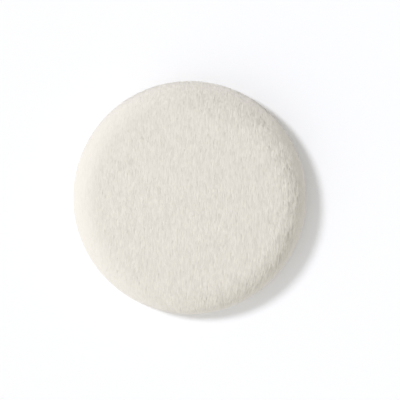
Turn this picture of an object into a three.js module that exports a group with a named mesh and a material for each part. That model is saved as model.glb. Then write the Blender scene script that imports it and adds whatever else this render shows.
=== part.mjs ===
// Powder puff: a round velour cushion, sewn along its edge and turned right side out.
// Millimetres, +Z up. The origin is the middle of the flat underside.
// The outline is that of the velour's nap, so it is the size the puff measures from side to side.

import * as THREE from 'three';

// Overall size
const DIAMETER = 60;
const THICKNESS = 10.5;

// Powdering face: a shallow dome that rolls over a round shoulder into the edge
const CROWN_RADIUS = 300;
const SHOULDER_WIDTH = 6.5;
const SHOULDER_FULLNESS = 0.6;
const FLANK_LEAN = THREE.MathUtils.degToRad(12);

// Edge: the cover bulges out in a lip above the seam, and the underside panel rolls up to meet it
const LIP_RADIUS = 1.7;
const BACK_EDGE_RADIUS = 1.4;
const SEAM_ANGLE = THREE.MathUtils.degToRad(45);

// Facets
const FACETS_AROUND = 96;
const CROWN_FACETS = 6;
const SHOULDER_FACETS = 10;
const LIP_FACETS = 6;
const BACK_EDGE_FACETS = 5;

const VELOUR_COLOUR = 0xe3ded6;

// The point of a circle at an angle from the +X direction of the section.
function onCircle(centre, radius, angle) {
  return new THREE.Vector2(
    centre.x + radius * Math.cos(angle),
    centre.y + radius * Math.sin(angle),
  );
}

// The points of a circular arc of the section, in order.
function arcPoints(centre, radius, from, to, facets) {
  return new THREE.ArcCurve(centre.x, centre.y, radius, from, to, to < from).getPoints(facets);
}

// Right half of the section through the axis, from the middle of the underside up to the crown.
// The section's y is the puff's height.
function puffSection() {
  const edgeRadius = DIAMETER / 2;
  const seam = new THREE.Vector2(
    edgeRadius - LIP_RADIUS * (1 - Math.cos(SEAM_ANGLE)),
    BACK_EDGE_RADIUS * (1 + Math.sin(SEAM_ANGLE)),
  );

  const backEdgeCentre = new THREE.Vector2(
    seam.x - BACK_EDGE_RADIUS * Math.cos(SEAM_ANGLE),
    BACK_EDGE_RADIUS,
  );
  const lipCentre = new THREE.Vector2(
    edgeRadius - LIP_RADIUS,
    seam.y + LIP_RADIUS * Math.sin(SEAM_ANGLE),
  );
  const crownCentre = new THREE.Vector2(0, THICKNESS - CROWN_RADIUS);

  // The shoulder leaves the lip along the leaning flank and meets the crown along the dome.
  const crownSlope = Math.asin((edgeRadius - SHOULDER_WIDTH) / CROWN_RADIUS);
  const shoulderFoot = onCircle(lipCentre, LIP_RADIUS, FLANK_LEAN);
  const shoulderTop = onCircle(crownCentre, CROWN_RADIUS, Math.PI / 2 - crownSlope);
  const rise = shoulderTop.clone().sub(shoulderFoot);
  const flankNormal = new THREE.Vector2(Math.cos(FLANK_LEAN), Math.sin(FLANK_LEAN));
  const crownNormal = new THREE.Vector2(Math.sin(crownSlope), Math.cos(crownSlope));
  const turn = Math.cos(crownSlope + FLANK_LEAN);
  const flankReach = SHOULDER_FULLNESS * rise.dot(crownNormal) / turn;
  const crownReach = SHOULDER_FULLNESS * -rise.dot(flankNormal) / turn;
  const shoulder = new THREE.CubicBezierCurve(
    shoulderFoot,
    new THREE.Vector2(
      shoulderFoot.x - flankReach * Math.sin(FLANK_LEAN),
      shoulderFoot.y + flankReach * Math.cos(FLANK_LEAN),
    ),
    new THREE.Vector2(
      shoulderTop.x + crownReach * Math.cos(crownSlope),
      shoulderTop.y - crownReach * Math.sin(crownSlope),
    ),
    shoulderTop,
  );

  const backEdge = arcPoints(backEdgeCentre, BACK_EDGE_RADIUS, -Math.PI / 2, SEAM_ANGLE, BACK_EDGE_FACETS);
  const lip = arcPoints(lipCentre, LIP_RADIUS, -SEAM_ANGLE, FLANK_LEAN, LIP_FACETS);
  const crown = arcPoints(crownCentre, CROWN_RADIUS, Math.PI / 2 - crownSlope, Math.PI / 2, CROWN_FACETS);
  return [
    new THREE.Vector2(0, 0),
    ...backEdge,
    ...lip.slice(1),
    ...shoulder.getPoints(SHOULDER_FACETS).slice(1),
    ...crown.slice(1, -1),
    new THREE.Vector2(0, THICKNESS),
  ];
}

const velour = new THREE.MeshStandardMaterial({ color: VELOUR_COLOUR, roughness: 0.95, metalness: 0 });

const puffGeometry = new THREE.LatheGeometry(puffSection(), FACETS_AROUND);
puffGeometry.rotateX(Math.PI / 2);

const puff = new THREE.Mesh(puffGeometry, velour);
puff.name = 'velour_puff';

const powderPuff = new THREE.Group();
powderPuff.name = 'powder_puff';
powderPuff.add(puff);

export default powderPuff;
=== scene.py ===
"""Powder puff in cream velour: the looks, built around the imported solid.

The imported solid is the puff's outline, nap included. Inside it lies the cushion, the velour's ground cloth
swollen over its wadding. The nap lies tuft by tuft over the cushion, and its outside is the solid's surface.
Sizes are written in millimetres and turned into metres by MM.
"""

import math

import bmesh
import bpy
import numpy as np
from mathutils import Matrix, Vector, noise


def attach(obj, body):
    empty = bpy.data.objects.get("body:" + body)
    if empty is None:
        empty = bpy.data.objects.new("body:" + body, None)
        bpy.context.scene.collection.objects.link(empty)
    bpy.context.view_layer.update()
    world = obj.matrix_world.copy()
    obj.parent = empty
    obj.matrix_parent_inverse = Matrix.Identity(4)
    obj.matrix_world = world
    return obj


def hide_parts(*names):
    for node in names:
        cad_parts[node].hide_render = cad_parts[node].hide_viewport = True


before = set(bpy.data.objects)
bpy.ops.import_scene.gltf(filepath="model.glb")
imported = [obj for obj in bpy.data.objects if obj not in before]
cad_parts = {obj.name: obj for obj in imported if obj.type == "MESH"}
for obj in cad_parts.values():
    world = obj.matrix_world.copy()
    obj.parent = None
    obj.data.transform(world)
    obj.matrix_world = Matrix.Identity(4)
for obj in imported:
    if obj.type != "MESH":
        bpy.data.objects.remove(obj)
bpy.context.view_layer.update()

MM = 0.001
TINY = 1e-9
PUFF = "velour_puff"
SEED = 7

# Cushion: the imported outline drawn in, remeshed, and swollen by a cloth simulation at a larger scale
GROUND_DEPTH = 0.25 * MM
WELD_DISTANCE = 0.01 * MM
VOXEL = 1.0 * MM
SIM_SCALE = 10
SIM_PRESSURE = 4.0
SIM_FRAMES = 20
SWELL_LIMIT = 0.15 * MM

# Seam: the band held while the cushion swells, and the pinch with its puckers.
# The pinch starts at a share of the seam's radius and is full after the ramp, another share.
SEAM_HELD_HEIGHT = 0.9 * MM
SEAM_HELD_DEPTH = 2 * GROUND_DEPTH
SEAM_PINCH = 0.35 * MM
SEAM_PINCH_HEIGHT = 0.6 * MM
SEAM_PINCH_FROM = 0.8
SEAM_PINCH_RAMP = 0.15
PUCKER_SPACING = 3.5 * MM
PUCKER_SHARE = 0.5

# Nap: tufts on a jittered grid of the flat panels, before these are wrapped over the cushion.
# A pitch is given across the nap and then along it.
NAP_DIRECTION = np.array((0.0, -1.0))
ACROSS_NAP = np.array((1.0, 0.0))
COVER_PITCH = np.array((0.24, 0.66)) * MM
BACK_PITCH = np.array((0.25, 0.86)) * MM
PITCH_JITTER = 0.9
COVER_PIECES = 4
BACK_PIECES = 2

# Tuft: flat and three-sided, with a ring of corners at each level below its pointed tip
TUFT_SIDES = 3
TUFT_LEVELS = np.array((0.0, 0.25, 0.5, 0.75, 1.0))
TUFT_TAPER = np.array((1.0, 1.05, 1.1, 0.95, 0.0))
TUFT_HALF_WIDTH = 0.2 * MM
TUFT_HALF_THICKNESS = 0.03 * MM
TUFT_SIZE_SPREAD = (0.9, 1.1)

# Lie of a tuft along the nap: its bend aside is a share of its length, and its rise a share of the depth
# of its root below the outline. A root is less deep where the nap is more even.
TUFT_LAY = 2.5 * MM
LAY_SPREAD = 0.15
LAY_SPREAD_LIMIT = 0.6
ROOT_RUN = 0.4
SIDE_CURL = 0.015
ROOT_DEPTH = 0.15 * MM
FLAT_ROOT_SHARE = 0.4
HEIGHT_SPREAD = (0.92, 0.94)
RISE_EASE = 0.3

# Stiffness: how far a tuft goes straight on where the cloth bends, and the step that gives its direction
STIFFNESS = 0.12
STIFF_LIFT_LIMIT = 0.08 * MM
FIRST_STEP = 0.05 * MM

# Combing: the nap wanders a little from its direction, and gathers into locks
WANDER_SHIFT = 0.6 * MM
WANDER_SIZE = 7.0 * MM
WANDER_STEP = 0.1 * WANDER_SIZE
STRAY_ANGLE = math.radians(2)
LOCK_WIDTH = 0.38 * MM
LOCK_LENGTH = 1.05 * MM
LOCK_ROLL = math.radians(19)
LOCK_RELIEF = 0.05

# Unevenness: the nap is smoothed on one side of the puff and ruffled on the opposite shoulder.
# A reach is measured along the cloth, in from the seam.
SMOOTH_SIDE = np.array((-1.0, 0.0))
SMOOTHING = 0.85
RUFFLING = 1.0
SHOULDER_REACH = 14.0 * MM
SHOULDER_RAMP = 9.0 * MM
FLANK_REACH = 7.0 * MM
FLANK_RAMP = 2.5 * MM
FLANK_SMOOTHING = 1.4
BACK_UNEVENNESS = 0.6

# Overhang: nap that runs past the seam hangs on over it, by a share of its length
SEAM_OVERHANG = 4.0 * MM
OVERHANG_SHARE = 0.1

# Layers of the noise, far enough apart to be independent
WANDER_LAYER = 0.5
LOCK_LAYER = 3.5
ROLL_LAYER = 6.5

# Tone map: strips from the deepest tone to the palest, each tuft on one of them, from its root to its tip
TONE_MAP = "OFBake"
TONE_STRIPS = 64
STRIP_MARGIN = 0.15
TONE_SCATTER = 0.22
TONE_RANGE = (0.92, 1.055)
ROUGHNESS_RANGE = (0.82, 0.96)

# Finish of the nap
NAP_SPECULAR = 0.2
SHEEN_WEIGHT = 0.4
SHEEN_ROUGHNESS = 0.6

# Finish of the knitted ground cloth
KNIT_SIZE = 0.5 * MM
KNIT_DETAIL = 3.0
KNIT_SHADE = 0.88
KNIT_BUMP = 0.5
KNIT_RELIEF = 0.1 * MM
GROUND_ROUGHNESS = 0.95
GROUND_SPECULAR = 0.1

# Colours, in linear light
GROUND_COLOUR = (0.754, 0.706, 0.606, 1.0)
# Painted shade in the pile: the roots take the ground cloth's deeper, warmer colour and the tufts pale
# towards their tips
ROOT_COLOUR_WITH_PAINTED_SHADE = GROUND_COLOUR
MIDDLE_COLOUR = (0.783, 0.739, 0.648, 1.0)
TIP_COLOUR = (0.807, 0.763, 0.681, 1.0)
FLOOR_COLOUR = (0.99, 0.99, 0.99, 1.0)
WHITE = (1.0, 1.0, 1.0, 1.0)

# Photograph: a square picture, straight down, with the puff a little left of and above its middle
PHOTO_SIZE = 400
PUFF_PIXEL = (189.2, 197.0)
PUFF_PIXEL_RADIUS = 116.6
LENS_MM = 150.0
SENSOR_MM = 36.0

# Light: the levels come to 1, at which a colour renders about as it is written
SKY_LEVEL = 0.53
SIDE_LEVEL = 0.09
FILL_LEVEL = 0.0045
KEY_LEVEL = 1 - SKY_LEVEL - SIDE_LEVEL - FILL_LEVEL

# Key lamp, which casts the shadow
KEY_COLOUR = (0.98, 1.0, 1.08)
KEY_AZIMUTH = math.radians(154)
KEY_ELEVATION = math.radians(46)
KEY_SOFTNESS = math.radians(13)

# Side lamp, broad and weak, which shades the puff from its lower left to its upper right
SIDE_COLOUR = (1.0, 1.0, 1.0)
SIDE_AZIMUTH = math.radians(228)
SIDE_ELEVATION = math.radians(25)
SIDE_SOFTNESS = math.radians(70)

# Fill lamp, low and warm, about opposite the key
FILL_COLOUR = (1.0, 0.88, 0.6)
FILL_AZIMUTH = math.radians(-35)
FILL_ELEVATION = math.radians(4)
FILL_SOFTNESS = math.radians(50)

# Floor
FLOOR_HALF = 3000.0 * MM


def packed_section(node):
    """The solid's half section, from the middle of the underside to the crown, as rows of radius and height.

    The points of one ring are merged by rounding to a hundredth of a millimetre.
    """
    points = np.array([v.co for v in node.data.vertices])
    rings = np.column_stack((np.hypot(points[:, 0], points[:, 1]), points[:, 2]))
    rings = np.unique(np.round(rings / MM, 2), axis=0) * MM
    middle = rings[:, 1].max() / 2
    return rings[np.argsort(np.arctan2(rings[:, 1] - middle, rings[:, 0]))]


def seam_index(section):
    """The row of the section where the edge pulls in between the cover and the underside panel."""
    radius = section[:, 0]
    inner = range(1, len(radius) - 1)
    return next(i for i in inner if radius[i] < radius[i - 1] and radius[i] < radius[i + 1])


class Panel:
    """One round of velour: its section from the middle out to the seam, by the cloth's own length."""

    def __init__(self, section, facing):
        """facing is +1 for the cover, which faces up, and -1 for the underside panel."""
        steps = np.diff(section, axis=0)
        self.radius = np.hypot(steps[:, 0], steps[:, 1]).sum()
        past = section[-1] + (0.0, -facing * SEAM_OVERHANG)
        self.section = np.vstack((section, past))
        steps = np.diff(self.section, axis=0)
        self.lengths = np.concatenate(((0.0,), np.cumsum(np.hypot(steps[:, 0], steps[:, 1]))))
        self.tangents = np.gradient(self.section, self.lengths, axis=0)
        self.tangents[0] = (1.0, 0.0)
        self.facing = facing

    def wrap(self, flat):
        """Places on the outline, and outward normals, of points of the flat panel."""
        out = np.hypot(flat[:, 0], flat[:, 1])
        cos, sin = flat.T / np.maximum(out, TINY)
        out -= (1 - OVERHANG_SHARE) * np.maximum(out - self.radius, 0)
        radius, height = (np.interp(out, self.lengths, column) for column in self.section.T)
        run, climb = (np.interp(out, self.lengths, column) for column in self.tangents.T)
        place = np.column_stack((radius * cos, radius * sin, height))
        normal = np.column_stack((-climb * cos, -climb * sin, run)) * self.facing
        return place, normal / np.linalg.norm(normal, axis=1)[:, None]


def link(name, data):
    """A new object of the scene."""
    piece = bpy.data.objects.new(name, data)
    bpy.context.scene.collection.objects.link(piece)
    return piece


def coordinates(mesh):
    """The places of a mesh's points."""
    flat = np.empty(len(mesh.vertices) * 3)
    mesh.vertices.foreach_get("co", flat)
    return flat.reshape(-1, 3)


def set_coordinates(mesh, points):
    """Moves a mesh's points to new places."""
    mesh.vertices.foreach_set("co", points.ravel())
    mesh.update()


def applied_mesh(piece):
    """A new mesh of a piece with its modifiers in it."""
    graph = bpy.context.evaluated_depsgraph_get()
    graph.update()
    return bpy.data.meshes.new_from_object(piece.evaluated_get(graph))


def modified(mesh, kind, **settings):
    """A new mesh of a mesh with one modifier in it."""
    piece = link("cushion_shaping", mesh)
    modifier = piece.modifiers.new("shaping", kind)
    for setting, value in settings.items():
        setattr(modifier, setting, value)
    result = applied_mesh(piece)
    bpy.data.objects.remove(piece)
    return result


def welded_copy(node, inset, scale):
    """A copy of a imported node's mesh, welded, drawn in by inset and enlarged."""
    shell = bmesh.new()
    shell.from_mesh(node.data)
    bmesh.ops.remove_doubles(shell, verts=shell.verts, dist=WELD_DISTANCE)
    bmesh.ops.recalc_face_normals(shell, faces=shell.faces)
    shell.normal_update()
    moved = [(v, (v.co - v.normal * inset) * scale) for v in shell.verts]
    for vertex, place in moved:
        vertex.co = place
    mesh = bpy.data.meshes.new("cushion_start")
    shell.to_mesh(mesh)
    shell.free()
    return mesh


def held_at_seam(points, seam):
    """Which points of the enlarged cushion lie along its seam."""
    seam_radius, seam_height = seam
    at_height = np.abs(points[:, 2] / SIM_SCALE - seam_height) < SEAM_HELD_HEIGHT / 2
    at_edge = np.hypot(points[:, 0], points[:, 1]) / SIM_SCALE > seam_radius - SEAM_HELD_DEPTH
    return at_height & at_edge


def swollen(mesh, held):
    """The places of a mesh's points after pressure has swollen it for some frames, with some points held."""
    piece = link("cushion_swelling", mesh)
    group = piece.vertex_groups.new(name="seam")
    group.add([int(i) for i in np.flatnonzero(held)], 1.0, "REPLACE")
    cloth = piece.modifiers.new("cloth", "CLOTH")
    cloth.settings.use_pressure = True
    cloth.settings.uniform_pressure_force = SIM_PRESSURE
    cloth.settings.effector_weights.gravity = 0.0
    cloth.settings.vertex_group_mass = group.name
    cloth.point_cache.frame_start = 1
    cloth.point_cache.frame_end = SIM_FRAMES
    for number in range(1, SIM_FRAMES + 1):
        bpy.context.scene.frame_set(number)
    points = coordinates(applied_mesh(piece))
    bpy.data.objects.remove(piece)
    bpy.context.scene.frame_set(1)
    return points


def capped(start, end, limit):
    """Points moved from start towards end, but no further than limit."""
    move = end - start
    far = np.linalg.norm(move, axis=-1)[..., None]
    return start + move * np.minimum(1.0, limit / np.maximum(far, TINY))


def pinch_seam(points, seam):
    """Draws the cloth in along the seam, with small uneven puckers."""
    seam_radius, seam_height = seam
    out = np.hypot(points[:, 0], points[:, 1])
    near = np.exp(-((points[:, 2] - seam_height) / SEAM_PINCH_HEIGHT) ** 2)
    near *= np.clip((out - SEAM_PINCH_FROM * seam_radius) / (SEAM_PINCH_RAMP * seam_radius), 0, 1)
    pucker = np.array([noise.noise(Vector(p) / PUCKER_SPACING) for p in points])
    draw = SEAM_PINCH * near * (1 + PUCKER_SHARE * pucker)
    points[:, :2] *= (1 - draw / np.maximum(out, MM))[:, None]


def make_cushion(node, seam):
    """The ground cloth over its wadding, swollen and pinched in at its seam."""
    start = welded_copy(node, GROUND_DEPTH, SIM_SCALE)
    mesh = modified(start, "REMESH", mode="VOXEL", voxel_size=VOXEL * SIM_SCALE)
    points = coordinates(mesh)
    end = swollen(mesh.copy(), held_at_seam(points, seam))
    points = capped(points, end, SWELL_LIMIT * SIM_SCALE)
    set_coordinates(mesh, points / SIM_SCALE)

    mesh = modified(mesh, "SUBSURF", levels=1)
    points = coordinates(mesh)
    pinch_seam(points, seam)
    points[:, 2] = np.maximum(points[:, 2], GROUND_DEPTH)
    set_coordinates(mesh, points)
    mesh.shade_smooth()
    mesh.name = "cushion"
    return link("cushion", mesh)


def panel_grid(radius, pitch, rng):
    """Jittered grid points of a flat round panel, with those outside it whose tufts reach onto it."""
    reach = radius + TUFT_LAY
    lines = [np.arange(-reach, reach, step) for step in pitch]
    grid = np.stack(np.meshgrid(*lines), axis=-1).reshape(-1, 2)
    grid = grid + rng.uniform(-0.5, 0.5, grid.shape) * pitch * PITCH_JITTER
    flat = grid @ np.array((ACROSS_NAP, NAP_DIRECTION))
    tips = flat + NAP_DIRECTION * TUFT_LAY
    return flat[np.minimum(np.hypot(*flat.T), np.hypot(*tips.T)) < radius]


def drift(points, layer):
    """Smooth noise from about -1 to 1."""
    return np.array([noise.noise(Vector((x, y, layer))) for x, y in points])


def combing(flat, rng):
    """How far each tuft turns from the nap's direction, and its place in widths and lengths of a lock."""
    shift = WANDER_SHIFT * drift(flat / WANDER_SIZE, WANDER_LAYER)
    next_flat = flat + NAP_DIRECTION * WANDER_STEP
    next_shift = WANDER_SHIFT * drift(next_flat / WANDER_SIZE, WANDER_LAYER)
    turn = np.arctan((shift - next_shift) / WANDER_STEP) + rng.normal(0, STRAY_ANGLE, len(flat))
    across = (flat @ ACROSS_NAP + shift) / LOCK_WIDTH
    along = flat @ NAP_DIRECTION / LOCK_LENGTH
    return turn, np.column_stack((across, along))


def unevenness(flat, panel):
    """How uneven the nap is at each tuft, which is 1 over most of the face.

    It is less towards the smooth side's edge, more on the opposite shoulder and less on the flank below that.
    The underside panel has one value all over.
    """
    if panel.facing < 0:
        return np.full(len(flat), BACK_UNEVENNESS)
    out = np.hypot(*flat.T)
    shoulder = ((out - panel.radius + SHOULDER_REACH) / SHOULDER_RAMP).clip(0, 1)
    flank = ((out - panel.radius + FLANK_REACH) / FLANK_RAMP).clip(0, 1)
    side = flat @ SMOOTH_SIDE / np.maximum(out, MM)
    smooth = SMOOTHING * side.clip(0, 1) * shoulder
    ruffled = RUFFLING * (-side).clip(0, 1) * (shoulder - FLANK_SMOOTHING * flank)
    return 1 - smooth + ruffled


def by_tuft(values):
    """One value for each tuft, in a shape that goes with its levels and their coordinates."""
    return values[:, None, None]


def turned_lie(turn):
    """The direction in which each tuft lies, and the one across it."""
    cos, sin = np.cos(turn), np.sin(turn)
    lie = np.column_stack((
        NAP_DIRECTION[0] * cos - NAP_DIRECTION[1] * sin,
        NAP_DIRECTION[0] * sin + NAP_DIRECTION[1] * cos,
    ))
    return lie, np.column_stack((-lie[:, 1], lie[:, 0]))


def tuft_runs(lock, rng):
    """How far each tuft runs forward, bends aside and rises at its levels."""
    count = len(lock)
    spread = rng.normal(0, LAY_SPREAD, count).clip(-LAY_SPREAD_LIMIT, LAY_SPREAD_LIMIT)
    length = TUFT_LAY * (1 + spread)
    curl = rng.normal(0, SIDE_CURL, count) * length
    height = rng.uniform(*HEIGHT_SPREAD, count) + LOCK_RELIEF * lock
    level = TUFT_LEVELS[:, None]
    forward = by_tuft(length) * (ROOT_RUN * level + (1 - ROOT_RUN) * level ** 2)
    aside = by_tuft(curl) * level ** 2
    rise = by_tuft(height) * ((1 + RISE_EASE) * level - RISE_EASE * level ** 2)
    return forward, aside, rise


def tuft_centres(flat, turn, lock, uneven, panel, rng):
    """The centre line of each tuft at its levels, and the outward normals there."""
    lie, across = turned_lie(turn)
    forward, aside, rise = tuft_runs(lock, rng)
    path = flat[:, None] + lie[:, None] * forward + across[:, None] * aside
    shape = path.shape[:2] + (3,)
    place, normal = (part.reshape(shape) for part in panel.wrap(path.reshape(-1, 2)))
    root_depth = ROOT_DEPTH * (FLAT_ROOT_SHARE + (1 - FLAT_ROOT_SHARE) * uneven)
    depth = np.maximum(by_tuft(root_depth) * (1 - rise), TUFT_HALF_THICKNESS)
    laid = place - normal * depth

    # A stiff tuft would go straight on from its root.
    start = place[:, :1]
    ahead = panel.wrap(flat + lie * FIRST_STEP)[0][:, None] - start
    straight = start + ahead / FIRST_STEP * forward - normal[:, :1] * depth
    lifted = laid + by_tuft(STIFFNESS * uneven) * (straight - laid)
    return capped(laid, lifted, STIFF_LIFT_LIMIT), normal


def tuft_points(centres, normals, roll, rng):
    """The points of each tuft: a ring at each level below the tip, then the tip.

    The first corner of a ring is on the tuft's upper side and the others are below it.
    """
    path = np.gradient(centres, axis=1)
    across = np.cross(normals, path)
    across /= np.linalg.norm(across, axis=2)[..., None]
    cos, sin = by_tuft(np.cos(roll)), by_tuft(np.sin(roll))
    across, normals = across * cos + normals * sin, normals * cos - across * sin
    size = by_tuft(rng.uniform(*TUFT_SIZE_SPREAD, len(centres))) * TUFT_TAPER[:, None]
    rings = []
    for corner in range(TUFT_SIDES):
        angle = math.pi / 2 + corner * 2 * math.pi / TUFT_SIDES
        reach = across * TUFT_HALF_WIDTH * math.cos(angle) + normals * TUFT_HALF_THICKNESS * math.sin(angle)
        rings.append(centres + reach * size)
    levels = np.stack(rings, axis=2)[:, :-1]
    return np.concatenate((levels.reshape(len(centres), -1, 3), centres[:, -1:]), axis=1)


def tone_strips(lock, uneven, rng):
    """The strip of the tone map that each tuft takes: pale on the locks, deeper between them.

    A tone of 0 gives the first strip, and a tone of 1 the last.
    """
    tone = 0.5 + 0.5 * lock + rng.normal(0, TONE_SCATTER, len(lock)) * uneven
    return (tone * TONE_STRIPS).clip(0, TONE_STRIPS - 1).astype(int)


def tuft_template():
    """A tuft's triangles, and the place of each corner across and along its strip of the tone map."""
    rings = len(TUFT_LEVELS) - 1
    tip = rings * TUFT_SIDES
    triangles = []
    for ring in range(rings):
        for corner in range(TUFT_SIDES):
            here = ring * TUFT_SIDES + corner
            beside = ring * TUFT_SIDES + (corner + 1) % TUFT_SIDES
            if ring + 1 < rings:
                triangles.append((here, beside, beside + TUFT_SIDES))
                triangles.append((here, beside + TUFT_SIDES, here + TUFT_SIDES))
            else:
                triangles.append((here, beside, tip))
    # The root is closed by a triangle of its ring.
    triangles.append((2, 1, 0))

    across = np.linspace(STRIP_MARGIN, 1 - STRIP_MARGIN, TUFT_SIDES)
    places = [(across[k % TUFT_SIDES], TUFT_LEVELS[k // TUFT_SIDES]) for k in range(tip)]
    places.append((0.5, 1.0))
    corners = np.array([[places[k] for k in triangle] for triangle in triangles])
    # One corner of the root's triangle moves along the strip, to give it an area on the map.
    corners[-1, 1, 1] = STRIP_MARGIN
    return np.array(triangles), corners


def sharpen_sides(mesh, per_tuft):
    """Keeps each tuft's two lower edges sharp, so that only its upper side shades as one round."""
    ends = np.empty(len(mesh.edges) * 2, dtype=np.int32)
    mesh.edges.foreach_get("vertices", ends)
    local = ends.reshape(-1, 2) % per_tuft
    # The tip, the last point of a tuft, counts as corner -1.
    corner = np.where(local == per_tuft - 1, -1, local % TUFT_SIDES)
    lengthwise = (corner[:, 0] == corner[:, 1]) | (corner.min(axis=1) == -1)
    sharp = mesh.attributes.new("sharp_edge", "BOOLEAN", "EDGE")
    sharp.data.foreach_set("value", lengthwise & (corner.max(axis=1) >= 1))


def nap_mesh(name, points, strips):
    """One mesh of many tufts, with a map that gives each tuft a strip of its own tone."""
    triangles, corners = tuft_template()
    tufts, per_tuft = points.shape[:2]
    faces = (triangles[None] + (np.arange(tufts) * per_tuft)[:, None, None]).reshape(-1, 3)
    places = np.tile(corners.reshape(1, -1, 2), (tufts, 1, 1))
    places[..., 0] = (places[..., 0] + strips[:, None]) / TONE_STRIPS

    mesh = bpy.data.meshes.new(name)
    mesh.vertices.add(tufts * per_tuft)
    mesh.vertices.foreach_set("co", points.ravel())
    mesh.loops.add(faces.size)
    mesh.loops.foreach_set("vertex_index", faces.ravel().astype(np.int32))
    mesh.polygons.add(len(faces))
    mesh.polygons.foreach_set("loop_start", np.arange(0, faces.size, 3, dtype=np.int32))
    mesh.update(calc_edges=True)
    tone_map = mesh.uv_layers.new(name=TONE_MAP)
    tone_map.uv.foreach_set("vector", places.ravel().astype(np.float32))
    mesh.shade_smooth()
    sharpen_sides(mesh, per_tuft)
    return mesh


def make_nap(name, panel, pitch, parts, rng):
    """The nap of one panel, as several pieces side by side around the middle."""
    flat = panel_grid(panel.radius, pitch, rng)
    turn, combed = combing(flat, rng)
    uneven = unevenness(flat, panel)
    lock = drift(combed, LOCK_LAYER) * uneven
    roll = LOCK_ROLL * drift(combed, ROLL_LAYER) * uneven
    centres, normals = tuft_centres(flat, turn, lock, uneven, panel, rng)
    points = tuft_points(centres, normals, roll, rng)
    # A tuft that would reach through the floor is lifted onto it whole.
    points[..., 2] -= np.minimum(points[..., 2].min(axis=1), 0.0)[:, None]
    strips = tone_strips(lock, uneven, rng)

    bearing = np.arctan2(flat[:, 1], flat[:, 0]) / (2 * math.pi) + 0.5
    sector = np.floor(bearing * parts).astype(int) % parts
    pieces = []
    for part in range(parts):
        piece_name = f"{name}_{part + 1}"
        inside = sector == part
        pieces.append(link(piece_name, nap_mesh(piece_name, points[inside], strips[inside])))
    return pieces


def new_material(name):
    """A new material, its nodes and links, and its shader."""
    material = bpy.data.materials.new(name)
    material.use_nodes = True
    nodes = material.node_tree.nodes
    return material, nodes, material.node_tree.links, nodes["Principled BSDF"]


def tone_map_place(nodes, links):
    """The number of a point's strip of the tone map, and how far along it the point is, from root to tip."""
    tone_map = nodes.new("ShaderNodeUVMap")
    tone_map.uv_map = TONE_MAP
    split = nodes.new("ShaderNodeSeparateXYZ")
    links.new(tone_map.outputs["UV"], split.inputs["Vector"])
    scaled = nodes.new("ShaderNodeMath")
    scaled.operation = "MULTIPLY"
    scaled.inputs[1].default_value = TONE_STRIPS
    links.new(split.outputs["X"], scaled.inputs[0])
    whole = nodes.new("ShaderNodeMath")
    whole.operation = "FLOOR"
    links.new(scaled.outputs[0], whole.inputs[0])
    return whole.outputs[0], split.outputs["Y"]


def over_strips(nodes, links, strip, limits):
    """A number that goes evenly from one limit to the other over the strips of the tone map."""
    spread = nodes.new("ShaderNodeMapRange")
    spread.inputs["From Max"].default_value = TONE_STRIPS - 1
    spread.inputs["To Min"].default_value = limits[0]
    spread.inputs["To Max"].default_value = limits[1]
    links.new(strip, spread.inputs["Value"])
    return spread.outputs["Result"]


def nap_material():
    """Velour nap, each tuft of its own tone, with painted shade: warm and deep at the roots, pale at the
    tips.
    """
    material, nodes, links, shader = new_material("velour_nap")
    strip, along = tone_map_place(nodes, links)
    # Painted shade: the colour goes from deep at each tuft's root to pale at its tip
    ramp = nodes.new("ShaderNodeValToRGB")
    stops = ramp.color_ramp.elements
    stops[0].color = ROOT_COLOUR_WITH_PAINTED_SHADE
    stops[1].color = TIP_COLOUR
    stops.new(0.5).color = MIDDLE_COLOUR
    links.new(along, ramp.inputs["Fac"])

    colour = nodes.new("ShaderNodeVectorMath")
    colour.operation = "SCALE"
    links.new(ramp.outputs["Color"], colour.inputs[0])
    links.new(over_strips(nodes, links, strip, TONE_RANGE), colour.inputs["Scale"])
    links.new(colour.outputs["Vector"], shader.inputs["Base Color"])
    links.new(over_strips(nodes, links, strip, ROUGHNESS_RANGE), shader.inputs["Roughness"])
    shader.inputs["Specular IOR Level"].default_value = NAP_SPECULAR
    shader.inputs["Sheen Weight"].default_value = SHEEN_WEIGHT
    shader.inputs["Sheen Roughness"].default_value = SHEEN_ROUGHNESS
    return material


def ground_material():
    """The knitted ground cloth between the tufts."""
    material, nodes, links, shader = new_material("velour_ground")
    place = nodes.new("ShaderNodeTexCoord")
    knit = nodes.new("ShaderNodeTexNoise")
    knit.inputs["Scale"].default_value = 1 / KNIT_SIZE
    knit.inputs["Detail"].default_value = KNIT_DETAIL
    links.new(place.outputs["Object"], knit.inputs["Vector"])
    shades = nodes.new("ShaderNodeValToRGB")
    stops = shades.color_ramp.elements
    stops[0].color = tuple(KNIT_SHADE * c for c in GROUND_COLOUR[:3]) + (1.0,)
    stops[1].color = GROUND_COLOUR
    links.new(knit.outputs["Fac"], shades.inputs["Fac"])
    links.new(shades.outputs["Color"], shader.inputs["Base Color"])
    bump = nodes.new("ShaderNodeBump")
    bump.inputs["Strength"].default_value = KNIT_BUMP
    bump.inputs["Distance"].default_value = KNIT_RELIEF
    links.new(knit.outputs["Fac"], bump.inputs["Height"])
    links.new(bump.outputs["Normal"], shader.inputs["Normal"])
    shader.inputs["Roughness"].default_value = GROUND_ROUGHNESS
    shader.inputs["Specular IOR Level"].default_value = GROUND_SPECULAR
    return material


def make_floor():
    """The white, matt floor that the puff rests on."""
    half = FLOOR_HALF
    corners = [(-half, -half, 0), (half, -half, 0), (half, half, 0), (-half, half, 0)]
    mesh = bpy.data.meshes.new("floor")
    mesh.from_pydata(corners, [], [(0, 1, 2, 3)])
    floor = link("floor", mesh)
    material, _, _, shader = new_material("floor_white")
    shader.inputs["Base Color"].default_value = FLOOR_COLOUR
    shader.inputs["Roughness"].default_value = 1.0
    shader.inputs["Specular IOR Level"].default_value = 0.0
    floor.data.materials.append(material)


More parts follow.
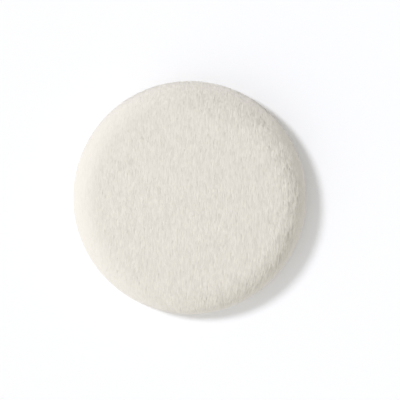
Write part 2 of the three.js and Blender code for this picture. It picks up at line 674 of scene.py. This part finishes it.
def make_sky():
    """Even white light from all round, and a plain white background where the camera sees it."""
    world = bpy.data.worlds.new("studio")
    bpy.context.scene.world = world
    world.use_nodes = True
    nodes, links = world.node_tree.nodes, world.node_tree.links
    nodes.clear()
    seen = nodes.new("ShaderNodeLightPath")
    strength = nodes.new("ShaderNodeMapRange")
    strength.inputs["To Min"].default_value = SKY_LEVEL
    strength.inputs["To Max"].default_value = 1.0
    links.new(seen.outputs["Is Camera Ray"], strength.inputs["Value"])
    background = nodes.new("ShaderNodeBackground")
    background.inputs["Color"].default_value = WHITE
    links.new(strength.outputs["Result"], background.inputs["Strength"])
    output = nodes.new("ShaderNodeOutputWorld")
    links.new(background.outputs["Background"], output.inputs["Surface"])


def make_lamp(name, colour, azimuth, elevation, softness, level):
    """A distant soft lamp. Its level is how bright it makes a white floor by itself."""
    lamp = bpy.data.lights.new(name, "SUN")
    lamp.color = colour
    lamp.angle = softness
    lamp.energy = math.pi * level / math.sin(elevation)
    flat = math.cos(elevation)
    towards = Vector((flat * math.cos(azimuth), flat * math.sin(azimuth), math.sin(elevation)))
    link(name, lamp).rotation_euler = (-towards).to_track_quat("-Z", "Y").to_euler()


def make_camera(radius, height):
    """Straight down, at the distance that gives the puff its size in the photograph."""
    pixel = radius / PUFF_PIXEL_RADIUS
    middle = (PHOTO_SIZE - 1) / 2
    data = bpy.data.cameras.new("camera")
    data.lens = LENS_MM
    data.sensor_width = SENSOR_MM
    camera = link("camera", data)
    camera.location = (
        (middle - PUFF_PIXEL[0]) * pixel,
        (PUFF_PIXEL[1] - middle) * pixel,
        height + PHOTO_SIZE * pixel * LENS_MM / SENSOR_MM,
    )
    bpy.context.scene.camera = camera


def dress(piece, material):
    """Gives a piece its material and its body."""
    piece.data.materials.clear()
    piece.data.materials.append(material)
    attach(piece, "root")


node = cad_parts[PUFF]
section = packed_section(node)
seam_row = seam_index(section)
widest = section[np.argmax(section[:, 0])]
cover = Panel(section[seam_row:][::-1], facing=1)
back = Panel(section[:seam_row + 1], facing=-1)

rng = np.random.default_rng(SEED)
cushion = make_cushion(node, section[seam_row])
cover_nap = make_nap("nap_cover", cover, COVER_PITCH, COVER_PIECES, rng)
back_nap = make_nap("nap_back", back, BACK_PITCH, BACK_PIECES, rng)

dress(cushion, ground_material())
nap_finish = nap_material()
for piece in cover_nap + back_nap:
    dress(piece, nap_finish)
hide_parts(PUFF)

make_floor()
make_sky()
make_lamp("key", KEY_COLOUR, KEY_AZIMUTH, KEY_ELEVATION, KEY_SOFTNESS, KEY_LEVEL)
make_lamp("side", SIDE_COLOUR, SIDE_AZIMUTH, SIDE_ELEVATION, SIDE_SOFTNESS, SIDE_LEVEL)
make_lamp("fill", FILL_COLOUR, FILL_AZIMUTH, FILL_ELEVATION, FILL_SOFTNESS, FILL_LEVEL)
make_camera(*widest)
bpy.context.scene.view_settings.view_transform = "Standard"
